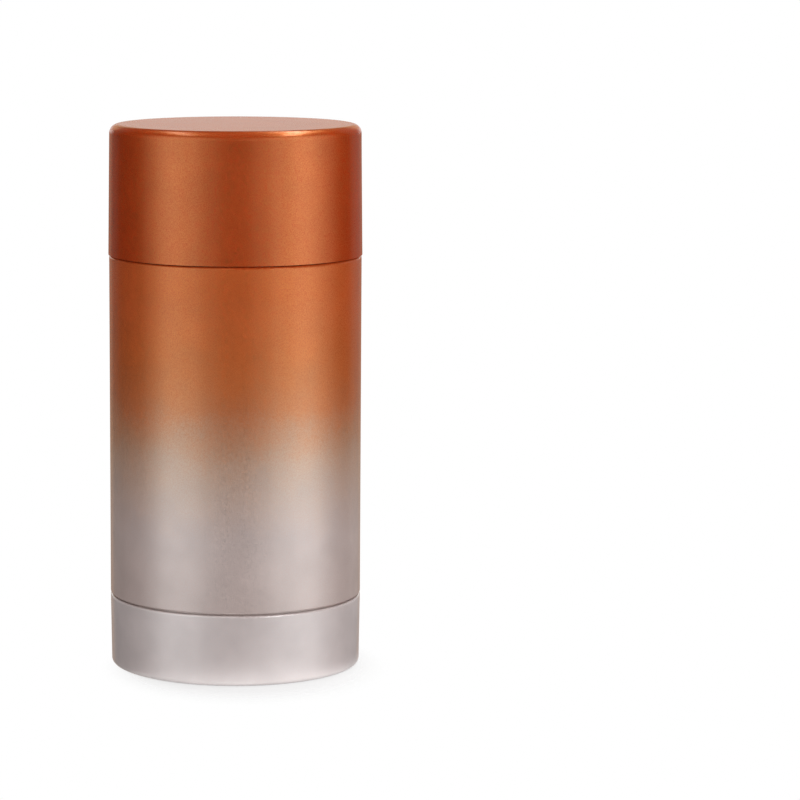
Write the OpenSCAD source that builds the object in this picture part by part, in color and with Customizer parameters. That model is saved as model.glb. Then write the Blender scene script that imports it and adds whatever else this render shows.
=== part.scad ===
// Twist-up deodorant stick container, closed and empty: a painted cap, sleeve and base over a white
// moulded mechanism. Turning the base turns the lead screw, which lifts the elevator in the barrel.
// Millimetres, +Z up. The foot of the base stands on z = 0 and the pack's axis is Z.

/* [Sleeve] */
// Outer diameter of the painted sleeve
sleeve_d = 50; // [44:0.5:60]
// Height of the sleeve's outer wall between its two seams
sleeve_h = 67.6; // [50:0.2:90]
// Wall of the sleeve
sleeve_wall = 1.6; // [1.4:0.1:1.9]
// Thickness of the lip that turns in at the sleeve's top
sleeve_lip_t = 1.6; // [1:0.1:2.5]
// Round on the sleeve's upper outer edge
sleeve_edge_r = 0.5; // [0.2:0.1:1]
// Round on the sleeve's lower outer edge
sleeve_foot_r = 0.25; // [0.1:0.05:0.5]
// Height of the thin tongue that hangs from the sleeve into the base
tongue_h = 1.1; // [0.6:0.1:1.3]
// Thickness of the tongue
tongue_t = 0.6; // [0.4:0.1:0.8]

/* [Cap] */
// Height of the cap
cap_h = 25.7; // [20:0.1:34]
// How far the cap's rim stands proud of the sleeve all round
cap_step = 0.15; // [0:0.05:0.4]
// How much the cap's radius narrows from its rim to its top
cap_draft = 0.3; // [0:0.05:0.6]
// Round between the cap's wall and its flat top
cap_edge_r = 1.8; // [0.5:0.1:4]
// Wall of the cap at its rim
cap_wall = 1.4; // [1.1:0.1:1.6]
// Thickness of the cap's top
cap_top_t = 1.6; // [1:0.1:3]
// Seam left between the cap's rim and the sleeve
cap_seam = 0.15; // [0.1:0.05:0.4]

/* [Cap liner] */
// Wall of the liner inside the cap
liner_wall = 0.9; // [0.6:0.05:1]
// Thickness of the liner's ceiling
liner_top_t = 1; // [0.6:0.1:2]
// Height of the foot that turns out at the liner's mouth
liner_foot_h = 1.2; // [0.8:0.1:2]
// How far the liner's mouth sits back from the cap's rim
liner_setback = 0.4; // [0.2:0.1:1]
// Number of fins between the liner and the cap
liner_fins = 16; // [8:1:24]
// Thickness of a liner fin
liner_fin_w = 1; // [0.6:0.1:1.6]
// How far the fins hold the liner off the cap's bore
liner_fin_h = 0.5; // [0.3:0.05:1.2]

/* [Barrel tube] */
// Wall of the barrel that holds the stick
tube_wall = 1.4; // [1.1:0.1:1.8]
// Height of the neck above the sleeve
neck_h = 12; // [8:0.5:15]
// Height of the round bead that grips the cap
bead_h = 0.25; // [0.15:0.05:0.35]
// Height of the bead's middle above the sleeve
bead_z = 3; // [2:0.5:5]
// Thickness of the barrel's floor
tube_floor_t = 1.5; // [1.2:0.1:2.5]
// How far the barrel's floor stands above the sleeve's lower edge
floor_rise = 0.8; // [0.5:0.1:2]
// Thickness of the shoulder under the sleeve's lip and of the flange at the barrel's foot
flange_t = 1.4; // [1:0.1:2]
// Radius of the bearing boss under the barrel's floor
boss_r = 6.5; // [5.5:0.1:8]
// How far the bearing boss hangs below the floor
boss_h = 2; // [1:0.1:3]
// Number of ribs that centre the barrel in the sleeve
centring_ribs = 12; // [6:1:18]
// Thickness of a centring rib
centring_rib_w = 1.1; // [0.8:0.1:1.6]
// Number of ribs in the barrel that keep the elevator from turning
guide_ribs = 4; // [3:1:6]
// Width of a guide rib
guide_rib_w = 1.6; // [1.2:0.1:2.4]
// How far a guide rib stands in from the barrel's wall
guide_rib_h = 0.8; // [0.5:0.1:1]
// Length of barrel left plain above the guide ribs
guide_rib_stop = 3; // [1:0.5:6]
// Wall of the skirt that runs inside the base
skirt_wall = 1.2; // [0.9:0.1:1.6]
// How far the snap beads of skirt and drive wheel stand out
snap_h = 0.5; // [0.4:0.05:0.7]
// Height of a snap bead
snap_t = 0.9; // [0.6:0.1:1.2]

/* [Elevator] */
// Height of the elevator's outer wall
elevator_h = 10; // [7:0.5:14]
// Wall of the elevator
elevator_wall = 1.1; // [0.8:0.1:1.6]
// Thickness of the elevator's floor
elevator_floor_t = 1.4; // [1:0.1:2]
// Height of the elevator's floor above its lower edge
elevator_floor_z = 3; // [2:0.25:5]
// Radius of the threaded hub
elevator_hub_r = 6.6; // [6:0.1:8]
// How far the hub stands above the outer wall
elevator_hub_rise = 1; // [0:0.25:2]
// Thickness of the fins that grip the stick and tie the hub to the guide pads
grip_fin_w = 1; // [0.7:0.1:1.6]
// How far the fins stay below the outer wall's edge
grip_fin_drop = 1.2; // [0.5:0.1:3]
// Height of a sealing lip at either edge of the outer wall
wiper_h = 1.2; // [0.8:0.1:2]
// How far a sealing lip stands out from the wall between
wiper_out = 0.25; // [0.1:0.05:0.4]

/* [Lead screw] */
// Lift of the elevator for one turn of the base
pitch = 4; // [3.6:0.1:5]
// Radius of the screw's core
core_r = 3.2; // [2.8:0.1:3.6]
// Height of the thread above the core
thread_h = 1.3; // [1:0.05:1.5]
// Width of the thread at the core
thread_root_w = 2; // [1.6:0.1:2.2]
// Width of the thread at its crest
thread_crest_w = 1; // [0.8:0.05:1.2]
// Plain core between the flange and the start of the thread
thread_run_in = 0.3; // [0.1:0.1:1]
// How far the screw's tip stays below the hub of the raised elevator
tip_drop = 0.5; // [0.2:0.1:2]
// Radius of the journal that turns in the barrel's floor
journal_r = 4; // [3.9:0.05:4.5]
// Radius of the flange that rests on the barrel's floor
screw_flange_r = 8; // [6.5:0.1:10]
// Thickness of the screw's flange
screw_flange_t = 1.5; // [1:0.1:2]
// Length of the splined tail
tail_l = 8; // [5:0.25:9]
// Core radius of the splined tail
tail_r = 3; // [2.6:0.1:3.2]
// How far a spline stands out from the tail's core
spline_h = 0.8; // [0.5:0.05:0.9]
// Width of a spline
spline_w = 1.4; // [1:0.1:1.8]

/* [Base] */
// Height of the base
base_h = 14; // [13:0.25:20]
// Seam left between the base and the sleeve
base_seam = 0.35; // [0.2:0.05:0.6]
// How much the base's radius narrows from its rim to its foot
base_draft = 0.2; // [0:0.05:0.4]
// Wall of the base at its foot
base_wall = 1.5; // [1.3:0.1:1.9]
// Thickness of the base's floor
base_floor_t = 1.4; // [1:0.1:2]
// Round on the base's foot
base_foot_r = 0.9; // [0.4:0.1:1.5]
// Round on the base's upper outer edge
base_rim_r = 0.4; // [0.2:0.05:0.6]
// Depth of the recess under the base
foot_recess = 0.8; // [0.4:0.1:1.2]
// Width of the ring that the base stands on
foot_ring_w = 3.6; // [2.5:0.1:5]
// Depth of the step in the base's rim that takes the sleeve's tongue
rim_step_h = 1.4; // [1:0.1:1.8]

/* [Drive wheel] */
// Wall of the drive wheel's ring
wheel_wall = 1.3; // [1:0.1:1.8]
// Thickness of the drive wheel's plate
wheel_plate_t = 1.4; // [1:0.1:2]
// Radius of the drive wheel's hub
wheel_hub_r = 6.5; // [5.5:0.1:8]
// Number of webs between the hub and the ring
wheel_webs = 8; // [4:1:12]
// Thickness of a web
wheel_web_w = 1.2; // [0.8:0.1:1.6]

/* [Fits] */
// Gap between pieces that are pressed or glued together
seat_gap = 0.1; // [0.05:0.05:0.15]
// Gap between the cap's liner and the bead it slides over
cap_gap = 0.1; // [0.05:0.05:0.2]
// Gap between the elevator and the barrel
slide_gap = 0.2; // [0.1:0.05:0.3]
// Gap between the turning base and the barrel tube
run_gap = 0.25; // [0.2:0.05:0.3]
// Gap round the journal in its bearing
journal_gap = 0.05; // [0.03:0.01:0.1]
// Play along the axis between the screw and the barrel's floor
end_play = 0.1; // [0.05:0.05:0.2]
// Gap between the screw's thread and the hub's thread
thread_gap = 0.25; // [0.2:0.05:0.3]
// Gap round the splines of the screw's tail
spline_gap = 0.06; // [0.04:0.01:0.1]
// Distance that the elevator stops short of the neck's rim
stop_short = 1; // [0.5:0.25:4]
// Space left between the elevator's lower edge and the screw's flange
rest_gap = 0.3; // [0.2:0.1:1]

/* [Hidden] */

$fn = 96;
COPPER = "#b5632f";
FADED_COPPER = "#bd8762";
SILVER = "#c1b4b1";
WHITE = "#eeeeea";
NATURAL = "#e2e2dc";

// Flats in one turn of a thread, and the part of a turn over which a thread's end fades in
THREAD_STEPS = 20;
THREAD_FADE = 0.4;
SPLINES = 6;
// Overrun of a cutter past the face that it opens
CUT = 0.5;

// Radii from the outside in
sleeve_r = sleeve_d / 2;
sleeve_bore_r = sleeve_r - sleeve_wall;
cap_rim_r = sleeve_r + cap_step;
cap_bore_r = cap_rim_r - cap_wall;
base_r = sleeve_r;
base_bore_r = base_r - base_draft - base_wall;
liner_seat_r = cap_bore_r - seat_gap;
liner_r = liner_seat_r - liner_fin_h;
liner_bore_r = liner_r - liner_wall;
tube_r = liner_bore_r - cap_gap - bead_h;
barrel_r = tube_r - tube_wall;
tube_seat_r = sleeve_bore_r - seat_gap;
wheel_r = base_bore_r - seat_gap;
wheel_bore_r = wheel_r - wheel_wall;
skirt_snap_r = wheel_bore_r - run_gap;
skirt_r = skirt_snap_r - snap_h;
wheel_snap_r = skirt_r + run_gap;
elevator_r = barrel_r - slide_gap;
tongue_r = sleeve_bore_r + tongue_t;

// Heights from the foot up
base_floor_z = foot_recess + base_floor_t;
wheel_plate_z = base_floor_z + wheel_plate_t;
rim_step_z = base_h - rim_step_h;
sleeve_z0 = base_h + base_seam;
sleeve_z1 = sleeve_z0 + sleeve_h;
cap_z0 = sleeve_z1 + cap_seam;
cap_z1 = cap_z0 + cap_h;
cap_ceiling_z = cap_z1 - cap_top_t;
liner_z0 = cap_z0 + liner_setback;
rim_z = sleeve_z1 + neck_h;
shoulder_z1 = sleeve_z1 - sleeve_lip_t;
tube_floor_z0 = sleeve_z0 + floor_rise;
tube_floor_z1 = tube_floor_z0 + tube_floor_t;
boss_z0 = tube_floor_z0 - boss_h;
wheel_hub_z1 = boss_z0 - end_play;
wheel_ring_z1 = rim_step_z - run_gap;
skirt_snap_z1 = wheel_ring_z1 - snap_t - run_gap;
skirt_z0 = skirt_snap_z1 - snap_t;
wheel_web_z1 = skirt_z0 - run_gap;
screw_flange_z0 = tube_floor_z1 + end_play;
screw_flange_z1 = screw_flange_z0 + screw_flange_t;
elevator_z0 = screw_flange_z1 + rest_gap;
elevator_z1 = elevator_z0 + elevator_h;
hub_z1 = elevator_z1 + elevator_hub_rise;
lift = rim_z - stop_short - elevator_z1;
thread_z0 = screw_flange_z1 + thread_root_w / 2 + thread_run_in;
screw_tip_z = hub_z1 + lift - tip_drop;

// Cutter that rounds the corner at [x, z] of a profile; out is 1 or -1 along each axis, away from the solid
module corner_cutter(x, z, r, out) {
    translate([x - out[0] * r, z - out[1] * r])
        scale([out[0], out[1]])
            difference() {
                square(r + CUT);
                circle(r);
            }
}

// Half section of a solid puck whose wall leans in by draft from r_wide and whose end is rounded by r_edge.
// It stands from 0 at its wide end to h at its rounded end.
module drafted_half(r_wide, h, draft, r_edge) {
    lean = atan(draft / h);
    arc_x = r_wide - draft * (h - r_edge) / h - r_edge / cos(lean);
    arc_z = h - r_edge;
    union() {
        polygon([
            [0, 0],
            [r_wide, 0],
            [arc_x + r_edge * cos(lean), arc_z + r_edge * sin(lean)],
            [arc_x, arc_z],
            [arc_x, h],
            [0, h]
        ]);
        translate([arc_x, arc_z])
            circle(r_edge);
    }
}

// Vertical ribs between two radii, evenly spaced round the axis
module ribs(count, w, r_in, r_out, z0, z1, turn = 0) {
    for (i = [0:count - 1])
        rotate(turn + i * 360 / count)
            translate([r_in, -w / 2, z0])
                cube([r_out - r_in, w, z1 - z0]);
}

// Left-hand threaded rod: a trapezoid ridge that winds round a core, with plain core past both its ends.
// gap swells the whole rod, so that a swollen rod cuts the matching nut. start is the height of the ridge's
// middle where it fades in.
module threaded_rod(z0, z1, start, turns, gap = 0) {
    n = floor(turns * THREAD_STEPS);
    root = core_r + gap;
    rise = thread_h;
    half_root = thread_root_w / 2 + gap;
    half_crest = thread_crest_w / 2 + gap;
    fade = THREAD_FADE * THREAD_STEPS;
    function turn_at(s) = -360 * s / THREAD_STEPS;
    function spot(r, s, z) = [r * cos(turn_at(s)), r * sin(turn_at(s)), z];
    function crest(s) = root + rise * min(1, s / fade, (n - s) / fade);
    function middle(s) = start + pitch * s / THREAD_STEPS;
    // Four rows of points follow the ridge: lower root, lower crest, upper crest, upper root
    rows = [
        for (s = [0:n])
            each [
                spot(root, s, middle(s) - half_root),
                spot(crest(s), s, middle(s) - half_crest),
                spot(crest(s), s, middle(s) + half_crest),
                spot(root, s, middle(s) + half_root)
            ]
    ];
    foot = [for (j = [0:THREAD_STEPS - 1]) spot(root, j, z0)];
    head = [for (j = [0:THREAD_STEPS - 1]) spot(root, j, z1)];
    function row(s, k) = 4 * s + k;
    function foot_at(s) = 4 * (n + 1) + s % THREAD_STEPS;
    function head_at(s) = 4 * (n + 1) + THREAD_STEPS + s % THREAD_STEPS;
    function quad(a, b, c, d) = [[a, b, c], [a, c, d]];
    ridge = [
        for (s = [0:n - 1])
            for (k = [0:2])
                each quad(row(s, k), row(s + 1, k), row(s + 1, k + 1), row(s, k + 1))
    ];
    root_strip = [
        for (s = [0:n - THREAD_STEPS - 1])
            each quad(row(s, 3), row(s + 1, 3), row(s + 1 + THREAD_STEPS, 0), row(s + THREAD_STEPS, 0))
    ];
    foot_strip = [
        for (s = [0:THREAD_STEPS - 2])
            each quad(foot_at(s), foot_at(s + 1), row(s + 1, 0), row(s, 0))
    ];
    foot_close = [
        foot_at(THREAD_STEPS - 1), foot_at(0), row(0, 0), row(0, 1), row(0, 2), row(0, 3),
        row(THREAD_STEPS, 0), row(THREAD_STEPS - 1, 0)
    ];
    head_open = [
        row(n - THREAD_STEPS + 1, 3), head_at(n + 1), head_at(n), row(n, 3), row(n, 2), row(n, 1),
        row(n, 0), row(n - THREAD_STEPS, 3)
    ];
    head_strip = [
        for (s = [n - THREAD_STEPS + 1:n - 1])
            each quad(row(s, 3), row(s + 1, 3), head_at(s + 1), head_at(s))
    ];
    polyhedron(
        points = concat(rows, foot, head),
        faces = concat(
            ridge, root_strip, foot_strip, [foot_close], [head_open], head_strip,
            [[for (j = [THREAD_STEPS - 1:-1:0]) foot_at(j)]],
            [[for (j = [0:THREAD_STEPS - 1]) head_at(j)]]
        )
    );
}

// Section of the splined tail, or of its socket with a gap
module spline_section(gap = 0) {
    circle(tail_r + gap);
    intersection() {
        circle(tail_r + spline_h + gap);
        for (i = [0:SPLINES - 1])
            rotate(i * 360 / SPLINES)
                translate([0, -spline_w / 2 - gap])
                    square([tail_r + spline_h + 2 * CUT, spline_w + 2 * gap]);
    }
}

// Painted cap: drafted wall, rounded edge and flat top, with a plain bore for the liner
module cap_shell() {
    color(COPPER)
        translate([0, 0, cap_z0])
            rotate_extrude()
                difference() {
                    drafted_half(cap_rim_r, cap_h, cap_draft, cap_edge_r);
                    translate([0, -CUT])
                        square([cap_bore_r, cap_h - cap_top_t + CUT]);
                }
}

// White liner in the cap: a thin cup that slides over the neck, with fins out to the cap's bore
module cap_liner() {
    color(WHITE) {
        rotate_extrude()
            difference() {
                union() {
                    translate([0, liner_z0])
                        square([liner_r, cap_ceiling_z - liner_z0]);
                    translate([0, liner_z0])
                        square([liner_seat_r, liner_foot_h]);
                }
                translate([0, liner_z0 - CUT])
                    square([liner_bore_r, cap_ceiling_z - liner_top_t - liner_z0 + CUT]);
            }
        ribs(liner_fins, liner_fin_w, liner_r - liner_wall / 2, liner_seat_r,
            liner_z0 + liner_foot_h / 2, cap_ceiling_z);
    }
}

// Painted sleeve: a round wall with a lip turned in round the neck and a thin tongue down into the base
module outer_sleeve() {
    color(FADED_COPPER)
        rotate_extrude()
            difference() {
                union() {
                    translate([0, sleeve_z0])
                        square([sleeve_r, sleeve_h]);
                    translate([0, sleeve_z0 - tongue_h])
                        square([tongue_r, tongue_h + CUT]);
                }
                translate([0, sleeve_z0 - tongue_h - CUT])
                    square([sleeve_bore_r, sleeve_h - sleeve_lip_t + tongue_h + CUT]);
                translate([0, sleeve_z0])
                    square([tube_r + seat_gap, sleeve_h + CUT]);
                corner_cutter(sleeve_r, sleeve_z1, sleeve_edge_r, [1, 1]);
                corner_cutter(sleeve_r, sleeve_z0, sleeve_foot_r, [1, -1]);
            }
}

// Half section of the barrel tube without its ribs
module barrel_tube_half() {
    difference() {
        union() {
            translate([0, tube_floor_z0])
                square([tube_r, rim_z - tube_floor_z0]);
            translate([0, tube_floor_z0])
                square([tube_seat_r, flange_t]);
            translate([0, shoulder_z1 - flange_t])
                square([tube_seat_r, flange_t]);
            translate([0, boss_z0])
                square([boss_r, boss_h + tube_floor_t / 2]);
            translate([skirt_r - skirt_wall, skirt_z0])
                square([skirt_wall, tube_floor_z0 - skirt_z0 + tube_floor_t / 2]);
            polygon([
                [skirt_r - skirt_wall / 2, skirt_z0],
                [skirt_r, skirt_z0],
                [skirt_snap_r, skirt_snap_z1 - snap_t / 3],
                [skirt_snap_r, skirt_snap_z1],
                [skirt_r - skirt_wall / 2, skirt_snap_z1]
            ]);
            bead_ball_r = 2 * bead_h;
            translate([tube_r + bead_h - bead_ball_r, sleeve_z1 + bead_z])
                circle(bead_ball_r);
        }
        translate([0, tube_floor_z1])
            square([barrel_r, rim_z - tube_floor_z1 + CUT]);
        translate([0, boss_z0 - CUT])
            square([journal_r + journal_gap, boss_h + tube_floor_t + 2 * CUT]);
        corner_cutter(tube_r, rim_z, tube_wall / 3, [1, 1]);
    }
}

// White barrel tube: the barrel that holds the stick, its neck, and the skirt that the base turns on
module barrel_tube() {
    color(WHITE) {
        rotate_extrude()
            barrel_tube_half();
        ribs(guide_ribs, guide_rib_w, barrel_r - guide_rib_h, barrel_r + tube_wall / 2,
            tube_floor_z1 - tube_floor_t / 2, rim_z - guide_rib_stop, 45);
        ribs(centring_ribs, centring_rib_w, tube_r - tube_wall / 2, tube_seat_r - seat_gap,
            tube_floor_z0 + flange_t / 2, shoulder_z1 - flange_t / 2);
    }
}

// Half section of the elevator without its fins, thread and notches
module elevator_half() {
    difference() {
        union() {
            translate([0, elevator_z0])
                square([elevator_r, elevator_h]);
            translate([0, elevator_z0])
                square([elevator_hub_r, elevator_h + elevator_hub_rise]);
        }
        // Dish above the floor and hollow below it, between the hub and the outer wall
        translate([elevator_hub_r, elevator_z0 + elevator_floor_z + elevator_floor_t])
            square([elevator_r - elevator_wall - elevator_hub_r, elevator_h]);
        translate([elevator_hub_r, elevator_z0 - CUT])
            square([elevator_r - elevator_wall - elevator_hub_r, elevator_floor_z + CUT]);
        // Shallow waist between the two sealing lips
        translate([elevator_r - wiper_out, elevator_z0 + wiper_h])
            square([wiper_out + CUT, elevator_h - 2 * wiper_h]);
    }
}

// White elevator: a dish with grip fins, a threaded hub and notches that run on the barrel's guide ribs
module elevator() {
    notch_r = barrel_r - guide_rib_h - slide_gap;
    pad_w = guide_rib_w + 2 * slide_gap + 2 * elevator_wall;
    pad_r = notch_r - elevator_wall;
    floor_z1 = elevator_z0 + elevator_floor_z + elevator_floor_t;
    lead_in = ceil(2 + THREAD_FADE);
    color(WHITE)
        difference() {
            union() {
                rotate_extrude()
                    elevator_half();
                ribs(guide_ribs, grip_fin_w, elevator_hub_r - grip_fin_w, pad_r + elevator_wall / 2,
                    floor_z1 - elevator_floor_t / 2, elevator_z1 - grip_fin_drop, 45);
                ribs(guide_ribs, pad_w, pad_r, elevator_r - wiper_out - elevator_wall / 2,
                    elevator_z0, elevator_z1, 45);
            }
            threaded_rod(elevator_z0 - 3 * pitch, hub_z1 + 3 * pitch, thread_z0 - lead_in * pitch,
                (hub_z1 - elevator_z0) / pitch + 2 * lead_in, thread_gap);
            ribs(guide_ribs, guide_rib_w + 2 * slide_gap, notch_r, elevator_r + CUT,
                elevator_z0 - CUT, elevator_z1 + CUT, 45);
        }
}

// Lead screw: splined tail, journal, flange and a left-hand thread up to the neck
module lead_screw() {
    color(NATURAL) {
        translate([0, 0, wheel_hub_z1 - tail_l])
            linear_extrude(tail_l + end_play)
                spline_section();
        translate([0, 0, wheel_hub_z1])
            cylinder(r = journal_r, h = screw_flange_z0 - wheel_hub_z1 + screw_flange_t / 2);
        translate([0, 0, screw_flange_z0])
            cylinder(r = screw_flange_r, h = screw_flange_t);
        threaded_rod(screw_flange_z1 - screw_flange_t / 2, screw_tip_z, thread_z0,
            (screw_tip_z - thread_root_w / 2 - thread_z0) / pitch);
    }
}

// Painted base: a cup that is turned by hand, with a stepped rim and a recess underneath
module base_shell() {
    foot_r = base_r - base_draft;
    color(SILVER)
        rotate_extrude()
            difference() {
                translate([0, base_h])
                    mirror([0, 1])
                        drafted_half(base_r, base_h, base_draft, base_foot_r);
                translate([0, base_floor_z])
                    square([base_bore_r, base_h]);
                translate([0, rim_step_z])
                    square([tongue_r + run_gap, base_h]);
                translate([0, -CUT])
                    square([foot_r - base_foot_r - foot_ring_w, foot_recess + CUT]);
                corner_cutter(base_r, base_h, base_rim_r, [1, 1]);
            }
}

// White drive wheel in the base: a hub that takes the screw's tail and a ring that snaps over the skirt
module drive_wheel() {
    color(WHITE)
        difference() {
            union() {
                rotate_extrude() {
                    translate([0, base_floor_z])
                        square([wheel_r, wheel_plate_t]);
                    translate([0, base_floor_z])
                        square([wheel_hub_r, wheel_hub_z1 - base_floor_z]);
                    translate([wheel_bore_r, base_floor_z])
                        square([wheel_wall, wheel_ring_z1 - base_floor_z]);
                    polygon([
                        [wheel_bore_r + wheel_wall / 2, wheel_ring_z1 - snap_t],
                        [wheel_snap_r, wheel_ring_z1 - snap_t],
                        [wheel_snap_r, wheel_ring_z1 - 2 * snap_t / 3],
                        [wheel_bore_r, wheel_ring_z1],
                        [wheel_bore_r + wheel_wall / 2, wheel_ring_z1]
                    ]);
                }
                ribs(wheel_webs, wheel_web_w, wheel_hub_r - wheel_web_w, wheel_bore_r + wheel_wall / 2,
                    wheel_plate_z - wheel_plate_t / 2, wheel_web_z1);
            }
            translate([0, 0, wheel_hub_z1 - tail_l - seat_gap])
                linear_extrude(tail_l + seat_gap + CUT)
                    spline_section(spline_gap);
        }
}

cap_shell();
cap_liner();
outer_sleeve();
barrel_tube();
elevator();
lead_screw();
base_shell();
drive_wheel();
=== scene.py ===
import math

import bpy
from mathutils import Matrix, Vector

MM = 0.001
MIDDLE = Vector((0.0, 0.0, 54 * MM))  # half-way up the container, where all the lamps point

# Camera, fitted to the photograph's outline and seams
PHOTO_SIDE = 800
OBJECT_COLUMN = 235.4  # column of the container's axis in the photograph
AXIS_ROW = 421.0  # row where the lens axis meets the photograph
CAMERA_PLACE = Vector((0.0, -0.685, 0.1513))
CAMERA_TILT = math.radians(8.53)
FOCAL_PIXELS = 3472.0
SENSOR = 36.0  # width in mm
NEAREST, FARTHEST = 0.01, 50.0

# Where the values of a noise lie
MOST = {"From_Min": 0.3, "From_Max": 0.7}
NEARLY_ALL = {"From_Min": 0.2, "From_Max": 0.8}
RELIEF = 0.01 * MM  # height of the finest unevenness, on paint and on plastic

# The sprayed finish
FLAKE = 0.2 * MM  # real flakes are finer, and are drawn as coarse as they need to show
CLOUD = 7 * MM  # slow unevenness of a hand-held spray pass
CLOUD_DARKEST, CLOUD_LIGHTEST = 0.95, 1.05
MIST = 0.45 * MM  # droplets of overspray in the fade
MIST_REACH = 1.5 * MM  # how far the droplets carry the fade up or down
CLOUD_REACH = 2.0 * MM  # how far a wavering pass carries it
FLAKE_SPREAD = 0.34  # roughness: how far the flakes lean out of the surface
FLAKE_GLOSS = 0.5
FLAKE_RELIEF = 0.05  # how much of the relief the lacquer leaves
GROUND_ROUGHNESS = 0.6  # the ground itself has no gloss
FLOP = 0.85  # colour left at grazing view, where the flakes stand edge on
FLOP_START, FLOP_END = 0.1, 0.9  # from nearly face on to nearly grazing
LACQUER, LACQUER_ROUGHNESS = 0.85, 0.22  # satin

# Coats, from the foot up: height in mm, colour of the ground, colour of the flakes. At the lowest and at
# the highest coat, flake_share is the part of the surface that is flake, and sparkle is how far that swings
# from grain to grain. Edge is the tint of the flakes at grazing view.
CAP_FINISH = {
    "coats": [(0, "#c83606", "#f2a055")],
    "flake_share": (0.5, 0.5),
    "sparkle": (0.25, 0.25),
    "edge": "#ffb070",
}
SLEEVE_FINISH = {
    "coats": [
        (28, "#e7cec7", "#f0edeb"),
        (44, "#d4a084", "#f8ebd8"),  # a thin mist of copper over silver looks golden
        (54, "#cb6d42", "#fdc58e"),
        (76, "#ce5424", "#f9ab5a"),
    ],
    "flake_share": (0.48, 0.36),
    "sparkle": (0.13, 0.25),
    "edge": "#ffe0c8",
}
# The base is the same silver spray as the sleeve's foot coat. Its ground and flakes are drawn lighter, as
# painted light that stands in for the light from the table below.
BASE_FINISH_AND_PAINTED_LIGHT = {
    "coats": [(0, "#fae8e5", "#fcfbfb")],
    "flake_share": (0.5, 0.5),
    "sparkle": (0.11, 0.11),
    "edge": "#ffffff",
}

# The inner mouldings
TOOL_TEXTURE = 0.3 * MM  # grain that the tool's spark-eroded face leaves
TOOL_RELIEF = 0.15
MELT_CLOUD = 12 * MM  # slow shading from the flow of the melt
MELT_DARKEST, MELT_LIGHTEST = 0.97, 1.02
POLYPROPYLENE_IOR = 1.49
MILKINESS = 0.1  # part of the light that wanders below the surface
MILKY_DEPTH = 1 * MM
MILKY_COLOUR = (1.0, 0.9, 0.8)  # red light wanders a little farther than blue
WHITE_CODE, WHITE_ROUGHNESS = "#ecebe6", 0.42
NATURAL_CODE, NATURAL_ROUGHNESS = "#e0dfd6", 0.36

# Lamps: azimuth and elevation in degrees, distance, width, height, and brightness in reflection
MIRRORED_LAMPS = {
    "left_softbox": (-53, 10, 0.75, 0.6, 0.75, 0.4),  # bright band on the left
    "left_core": (-57, 10, 0.74, 0.22, 0.55, 0.22),  # brighter middle of that band
    "left_halo": (-52, 10, 0.76, 1.15, 0.85, 0.22),  # soft edges of that band
    "left_top": (-106, 65, 0.8, 0.75, 0.1, 2.8),  # short glint on the cap's rounded edge
    "left_rim": (-146, 10, 0.78, 0.4, 0.75, 0.1),  # lifts the left edge out of the dark
    "right_softbox": (58, 10, 0.75, 0.74, 0.75, 0.42),  # the same five on the right, brighter and wider
    "right_core": (62, 10, 0.74, 0.26, 0.55, 0.4),
    "right_halo": (57, 10, 0.76, 1.4, 0.85, 0.24),
    "right_rim": (144, 10, 0.78, 0.45, 0.75, 0.18),
    "right_top": (114, 62, 0.8, 1.0, 0.1, 6.2),
}
FILL_LAMPS = {
    "top_fill": (0, 80, 0.8, 0.6, 0.6, 1.6),  # colour of the flat top
    "front_fill": (0, 15, 1.2, 1.0, 0.8, 1.3),  # colour between the bands
    "side_fill": (90, 10, 1.2, 0.8, 0.8, 2.0),  # the right flank is paler than the left
    "back_fill": (190, 0, 1.2, 0.9, 0.8, 1.4),  # keeps the back readable in turned views
}

# Painted reflections: glowing cards that only reflections see. Azimuths and elevations in degrees from end
# to end, shade, and number of facets each way
CARD_DISTANCE = 1.3
PAINTED_REFLECTION_CARDS = {
    "surround": ((-153, 157), (-75, 88), "#272727", 36),  # painted reflection of a dark studio between the bands
    "rear_foot": ((157, 207), (-60, 1), "#a0856f", 12),  # painted reflection of a dull wall that both edges mirror
    "rear_low": ((157, 207), (9.3, 22), "#cdcba8", 12),  # painted reflection of a warm pale wall that the flat top mirrors
    "rear_high": ((157, 207), (22, 88), "#303030", 12),  # painted reflection of a dark band: the dark line between the top and its rounded edge
}

# The floor patch and the world
FLOOR_PLACE = Vector((2 * MM, -6 * MM, 0.0))
FLOOR_RADIUS = 36 * MM
FLOOR_FADE = 16 * MM
FLOOR_SHAPE = (0.82, 1.0, 1.0)  # a little narrower than deep
FLOOR_CODE = "#a8a8a8"
FLOOR_GLOW = 0.5  # lifts it to white, for the camera and mirrors only
FLOOR_CORNERS = 96
WORLD_LEVEL = 0.4  # light that the world gives from all round


def linear(code):
    """The linear colour of an sRGB hex code, with alpha."""
    channels = [int(code[i:i + 2], 16) / 255 for i in (1, 3, 5)]
    return [c / 12.92 if c <= 0.04045 else ((c + 0.055) / 1.055) ** 2.4 for c in channels] + [1.0]


def add_node(tree, kind, settings=None, **inputs):
    """Adds a node to a tree. Inputs are values, or output sockets to link, named with underscores."""
    node = tree.nodes.new(kind)
    for name, value in (settings or {}).items():
        setattr(node, name, value)
    for name, value in inputs.items():
        key = int(name[1:]) if name[0] == "_" else name.replace("_", " ")
        socket = node.inputs[key]
        if isinstance(value, bpy.types.NodeSocket):
            tree.links.new(value, socket)
        else:
            socket.default_value = value
    return node


def new_material(name):
    material = bpy.data.materials.new(name)
    material.use_nodes = True
    material.node_tree.nodes.clear()
    return material, material.node_tree


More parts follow.
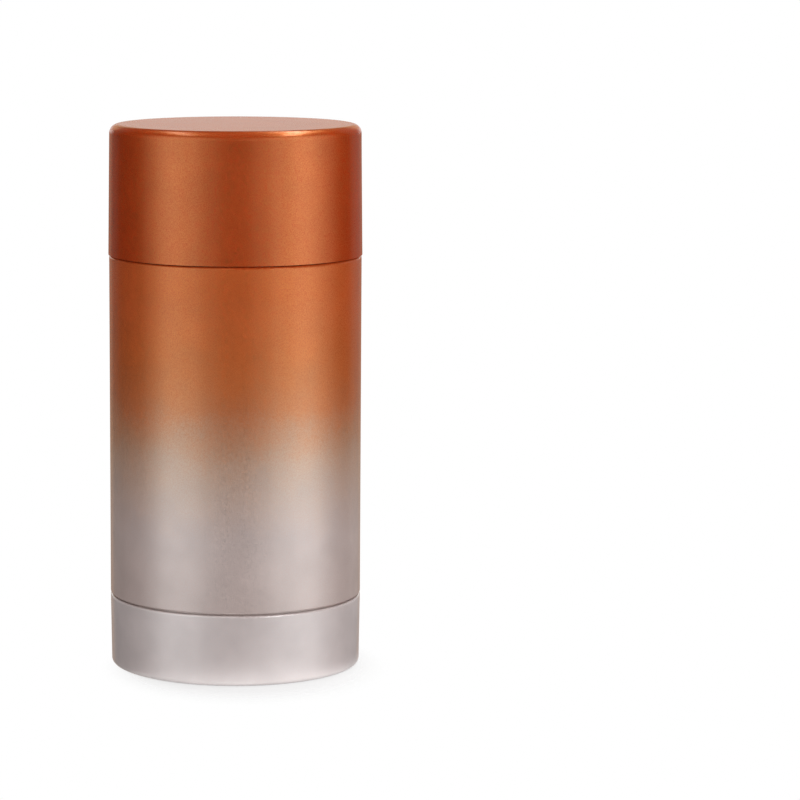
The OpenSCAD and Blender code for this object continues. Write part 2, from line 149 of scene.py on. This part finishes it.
def seen_or_mirrored(tree):
    """1 for what the camera sees, also mirrored or through glass, and 0 for what only lights a surface."""
    path = add_node(tree, "ShaderNodeLightPath").outputs
    seen = add_node(
        tree, "ShaderNodeMath", {"operation": "MAXIMUM"}, _0=path["Is Camera Ray"], _1=path["Is Glossy Ray"]
    ).outputs[0]
    return add_node(
        tree, "ShaderNodeMath", {"operation": "MAXIMUM"}, _0=seen, _1=path["Is Transmission Ray"]
    ).outputs[0]


def faded_coats(tree, place, clouds, coats, flake_share, sparkle):
    """Turns one coat into the next by height, with a ragged edge of droplets and wavering passes."""
    mist = add_node(tree, "ShaderNodeTexNoise", Vector=place, Scale=1 / MIST, Detail=2.0).outputs["Fac"]
    fine = add_node(
        tree, "ShaderNodeMapRange", Value=mist, To_Min=-MIST_REACH, To_Max=MIST_REACH, **NEARLY_ALL
    ).outputs["Result"]
    slow = add_node(
        tree, "ShaderNodeMapRange", Value=clouds, To_Min=-CLOUD_REACH, To_Max=CLOUD_REACH, **NEARLY_ALL
    ).outputs["Result"]
    height = add_node(tree, "ShaderNodeSeparateXYZ", Vector=place).outputs["Z"]
    drift = add_node(tree, "ShaderNodeMath", {"operation": "ADD"}, _0=fine, _1=slow).outputs[0]
    level = add_node(tree, "ShaderNodeMath", {"operation": "ADD"}, _0=height, _1=drift).outputs[0]
    foot, top = coats[0][0], coats[-1][0]
    along = add_node(
        tree, "ShaderNodeMapRange", Value=level, From_Min=foot * MM, From_Max=top * MM
    ).outputs["Result"]
    tints = []
    for column in (1, 2):
        ramp = add_node(tree, "ShaderNodeValToRGB", _0=along)
        ramp.color_ramp.interpolation = "CARDINAL"
        stops = ramp.color_ramp.elements
        for coat in coats[1:-1]:
            stops.new((coat[0] - foot) / (top - foot)).color = linear(coat[column])
        stops[0].color = linear(coats[0][column])
        stops[-1].color = linear(coats[-1][column])
        tints.append(ramp.outputs["Color"])
    share, swing = [
        add_node(
            tree, "ShaderNodeMapRange", Value=along, To_Min=ends[0], To_Max=ends[1]
        ).outputs["Result"]
        for ends in (flake_share, sparkle)
    ]
    return tints, share, swing


def metallic_spray(name, coats, flake_share, sparkle, edge):
    """Metallic spray on moulded ABS, a pigmented ground with bright flakes under a satin lacquer.

    It gives broad soft bands of light, a deep colour between them, and a fine grain.
    """
    material, tree = new_material(name)
    place = add_node(tree, "ShaderNodeTexCoord").outputs["Object"]
    grain = add_node(tree, "ShaderNodeTexNoise", Vector=place, Scale=1 / FLAKE, Detail=1.0).outputs["Fac"]
    clouds = add_node(tree, "ShaderNodeTexNoise", Vector=place, Scale=1 / CLOUD, Detail=2.0).outputs["Fac"]
    spots = add_node(
        tree, "ShaderNodeMapRange", Value=grain, To_Min=-1.0, To_Max=1.0, **MOST
    ).outputs["Result"]
    cloudy = add_node(
        tree, "ShaderNodeMapRange", Value=clouds, To_Min=CLOUD_DARKEST, To_Max=CLOUD_LIGHTEST, **MOST
    ).outputs["Result"]
    facing = add_node(tree, "ShaderNodeLayerWeight", Blend=0.5).outputs["Facing"]
    flop = add_node(
        tree, "ShaderNodeMapRange", {"interpolation_type": "SMOOTHSTEP"},
        Value=facing, From_Min=FLOP_START, From_Max=FLOP_END, To_Min=1.0, To_Max=FLOP,
    ).outputs["Result"]
    depth = add_node(tree, "ShaderNodeMath", {"operation": "MULTIPLY"}, _0=cloudy, _1=flop).outputs[0]
    if len(coats) > 1:
        tints, share, swing = faded_coats(tree, place, clouds, coats, flake_share, sparkle)
    else:
        tints = [linear(code) for code in coats[0][1:]]
        share, swing = flake_share[0], sparkle[0]
    spotty = add_node(tree, "ShaderNodeMath", {"operation": "MULTIPLY"}, _0=spots, _1=swing).outputs[0]
    cover = add_node(tree, "ShaderNodeMath", {"operation": "ADD"}, _0=spotty, _1=share).outputs[0]
    bump = add_node(
        tree, "ShaderNodeBump", Height=grain, Strength=FLAKE_RELIEF, Distance=RELIEF
    ).outputs["Normal"]
    ground = {"Metallic": 0.0, "Roughness": GROUND_ROUGHNESS, "Specular_IOR_Level": 0.0}
    flakes = {"Metallic": 1.0, "Roughness": FLAKE_SPREAD, "Specular_IOR_Level": FLAKE_GLOSS}
    layers = []
    for tint, optics in zip(tints, (ground, flakes)):
        colour = add_node(tree, "ShaderNodeHueSaturation", Color=tint, Value=depth).outputs["Color"]
        layer = add_node(
            tree, "ShaderNodeBsdfPrincipled", Base_Color=colour, Normal=bump, Specular_Tint=linear(edge),
            Coat_Weight=LACQUER, Coat_Roughness=LACQUER_ROUGHNESS, **optics,
        )
        layers.append(layer.outputs["BSDF"])
    both = add_node(tree, "ShaderNodeMixShader", _0=cover, _1=layers[0], _2=layers[1])
    add_node(tree, "ShaderNodeOutputMaterial", Surface=both.outputs["Shader"])
    return material


def moulded_plastic(name, code, roughness):
    """Polypropylene moulded in a textured tool.

    It gives a waxy, slightly milky surface with a soft gloss and faint slow shading.
    """
    material, tree = new_material(name)
    place = add_node(tree, "ShaderNodeTexCoord").outputs["Object"]
    grain = add_node(
        tree, "ShaderNodeTexNoise", Vector=place, Scale=1 / TOOL_TEXTURE, Detail=2.0
    ).outputs["Fac"]
    slow = add_node(
        tree, "ShaderNodeTexNoise", Vector=place, Scale=1 / MELT_CLOUD, Detail=1.0
    ).outputs["Fac"]
    shade = add_node(
        tree, "ShaderNodeMapRange", Value=slow, To_Min=MELT_DARKEST, To_Max=MELT_LIGHTEST, **MOST
    ).outputs["Result"]
    colour = add_node(tree, "ShaderNodeHueSaturation", Color=linear(code), Value=shade).outputs["Color"]
    bump = add_node(
        tree, "ShaderNodeBump", Height=grain, Strength=TOOL_RELIEF, Distance=RELIEF
    ).outputs["Normal"]
    shader = add_node(
        tree, "ShaderNodeBsdfPrincipled", Base_Color=colour, Roughness=roughness, Normal=bump,
        IOR=POLYPROPYLENE_IOR, Subsurface_Weight=MILKINESS, Subsurface_Radius=MILKY_COLOUR,
        Subsurface_Scale=MILKY_DEPTH,
    )
    add_node(tree, "ShaderNodeOutputMaterial", Surface=shader.outputs["BSDF"])
    return material


def around(azimuth, elevation, distance):
    """A point about the container's middle. Azimuth 0 is towards the camera, and grows towards +X."""
    turn, rise = math.radians(azimuth), math.radians(elevation)
    way = Vector((math.sin(turn) * math.cos(rise), -math.cos(turn) * math.cos(rise), math.sin(rise)))
    return MIDDLE + distance * way


def softbox(name, azimuth, elevation, distance, width, height, radiance, mirrored):
    """A rectangular softbox that faces the container. A fill isn't mirrored: it only lights evenly."""
    light = bpy.data.lights.new(name, "AREA")
    light.shape = "RECTANGLE"
    light.size, light.size_y = width, height
    light.energy = radiance * math.pi * width * height
    lamp = bpy.data.objects.new(name, light)
    bpy.context.collection.objects.link(lamp)
    lamp.location = around(azimuth, elevation, distance)
    lamp.rotation_euler = (MIDDLE - lamp.location).to_track_quat("-Z", "Y").to_euler()
    lamp.visible_camera = False
    lamp.visible_glossy = mirrored


def painted_reflection_card(name, azimuths, elevations, code, facets):
    """Glowing card that only reflections see: a painted reflection that gives a stretch of the studio its
    shade.
    """
    spread = [azimuths[0] + (azimuths[1] - azimuths[0]) * i / facets for i in range(facets + 1)]
    climb = [elevations[0] + (elevations[1] - elevations[0]) * j / facets for j in range(facets + 1)]
    points = [around(azimuth, elevation, CARD_DISTANCE) for elevation in climb for azimuth in spread]
    row = facets + 1
    faces = [
        (j * row + i, j * row + i + 1, (j + 1) * row + i + 1, (j + 1) * row + i)
        for j in range(facets) for i in range(facets)
    ]
    mesh = bpy.data.meshes.new(name)
    mesh.from_pydata([tuple(p) for p in points], [], faces)
    material, tree = new_material(name)
    glow = add_node(tree, "ShaderNodeEmission", Color=linear(code), Strength=1.0)
    add_node(tree, "ShaderNodeOutputMaterial", Surface=glow.outputs["Emission"])
    mesh.materials.append(material)
    card = bpy.data.objects.new(name, mesh)
    bpy.context.collection.objects.link(card)
    # hidden from the camera, from diffuse light and from shadows: only reflections see this painted glow
    card.visible_camera = card.visible_diffuse = card.visible_shadow = card.visible_transmission = False


def table_laminate():
    """Matte table laminate: it gives the contact shadow, and thins out into the white background."""
    material, tree = new_material("pale_table_laminate")
    place = add_node(tree, "ShaderNodeTexCoord").outputs["Object"]
    reach = add_node(tree, "ShaderNodeVectorMath", {"operation": "LENGTH"}, _0=place).outputs["Value"]
    thin = add_node(
        tree, "ShaderNodeMapRange", {"interpolation_type": "SMOOTHSTEP"},
        Value=reach, From_Min=FLOOR_RADIUS - FLOOR_FADE, From_Max=FLOOR_RADIUS,
    ).outputs["Result"]
    lift = add_node(
        tree, "ShaderNodeMath", {"operation": "MULTIPLY"}, _0=seen_or_mirrored(tree), _1=FLOOR_GLOW
    ).outputs[0]
    matte = add_node(tree, "ShaderNodeBsdfDiffuse", Color=linear(FLOOR_CODE))
    glow = add_node(tree, "ShaderNodeEmission", Color=linear("#ffffff"), Strength=lift)
    table = add_node(tree, "ShaderNodeAddShader", _0=matte.outputs["BSDF"], _1=glow.outputs["Emission"])
    clear = add_node(tree, "ShaderNodeBsdfTransparent")
    both = add_node(
        tree, "ShaderNodeMixShader", _0=thin, _1=table.outputs["Shader"], _2=clear.outputs["BSDF"]
    )
    add_node(tree, "ShaderNodeOutputMaterial", Surface=both.outputs["Shader"])
    return material


def pale_floor():
    """Small patch of table top under the container."""
    turns = [2 * math.pi * i / FLOOR_CORNERS for i in range(FLOOR_CORNERS)]
    rim = [(FLOOR_RADIUS * math.cos(t), FLOOR_RADIUS * math.sin(t), 0.0) for t in turns]
    mesh = bpy.data.meshes.new("floor")
    mesh.from_pydata(rim, [], [tuple(range(FLOOR_CORNERS))])
    mesh.materials.append(table_laminate())
    floor = bpy.data.objects.new("floor", mesh)
    floor.location = FLOOR_PLACE
    floor.scale = FLOOR_SHAPE
    bpy.context.collection.objects.link(floor)


def white_world():
    """White to the camera and in reflections, and a plain soft level of light otherwise."""
    world = bpy.data.worlds.new("studio")
    world.use_nodes = True
    tree = world.node_tree
    tree.nodes.clear()
    strength = add_node(
        tree, "ShaderNodeMapRange",
        Value=seen_or_mirrored(tree), From_Min=0.0, From_Max=1.0, To_Min=WORLD_LEVEL, To_Max=1.0,
    ).outputs["Result"]
    sky = add_node(tree, "ShaderNodeBackground", Color=linear("#ffffff"), Strength=strength)
    add_node(tree, "ShaderNodeOutputWorld", Surface=sky.outputs["Background"])
    bpy.context.scene.world = world


def set_camera():
    data = bpy.data.cameras.new("camera")
    data.sensor_width = SENSOR
    data.lens = SENSOR * FOCAL_PIXELS / PHOTO_SIDE
    data.shift_x = (PHOTO_SIDE / 2 - OBJECT_COLUMN) / PHOTO_SIDE
    data.shift_y = (AXIS_ROW - PHOTO_SIDE / 2) / PHOTO_SIDE
    data.clip_start, data.clip_end = NEAREST, FARTHEST
    camera = bpy.data.objects.new("camera", data)
    bpy.context.collection.objects.link(camera)
    camera.location = CAMERA_PLACE
    camera.rotation_euler = (math.radians(90) - CAMERA_TILT, 0.0, 0.0)
    bpy.context.scene.camera = camera


def paint(node, material):
    node.data.materials.clear()
    node.data.materials.append(material)


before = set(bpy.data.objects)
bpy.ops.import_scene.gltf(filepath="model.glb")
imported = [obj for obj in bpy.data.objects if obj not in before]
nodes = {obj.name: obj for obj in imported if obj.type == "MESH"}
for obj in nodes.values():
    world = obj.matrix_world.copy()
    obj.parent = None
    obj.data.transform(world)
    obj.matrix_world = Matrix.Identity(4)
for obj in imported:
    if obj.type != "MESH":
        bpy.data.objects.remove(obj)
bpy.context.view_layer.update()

copper = metallic_spray("copper_metallic_spray", **CAP_FINISH)
faded = metallic_spray("fading_metallic_spray", **SLEEVE_FINISH)
silver = metallic_spray("silver_metallic_spray", **BASE_FINISH_AND_PAINTED_LIGHT)
white = moulded_plastic("moulded_white_polypropylene", WHITE_CODE, WHITE_ROUGHNESS)
natural = moulded_plastic("moulded_natural_polypropylene", NATURAL_CODE, NATURAL_ROUGHNESS)

for name, material in {
    "cap_shell": copper,
    "outer_sleeve": faded,
    "base_shell": silver,
    "cap_liner": white,
    "barrel_tube": white,
    "elevator": white,
    "drive_wheel": white,
    "lead_screw": natural,
}.items():
    paint(nodes[name], material)

for name, placing in MIRRORED_LAMPS.items():
    softbox(name, *placing, mirrored=True)
for name, placing in FILL_LAMPS.items():
    softbox(name, *placing, mirrored=False)
for name, placing in PAINTED_REFLECTION_CARDS.items():
    painted_reflection_card(name, *placing)
pale_floor()
white_world()
set_camera()

bpy.context.scene.view_settings.view_transform = "Standard"
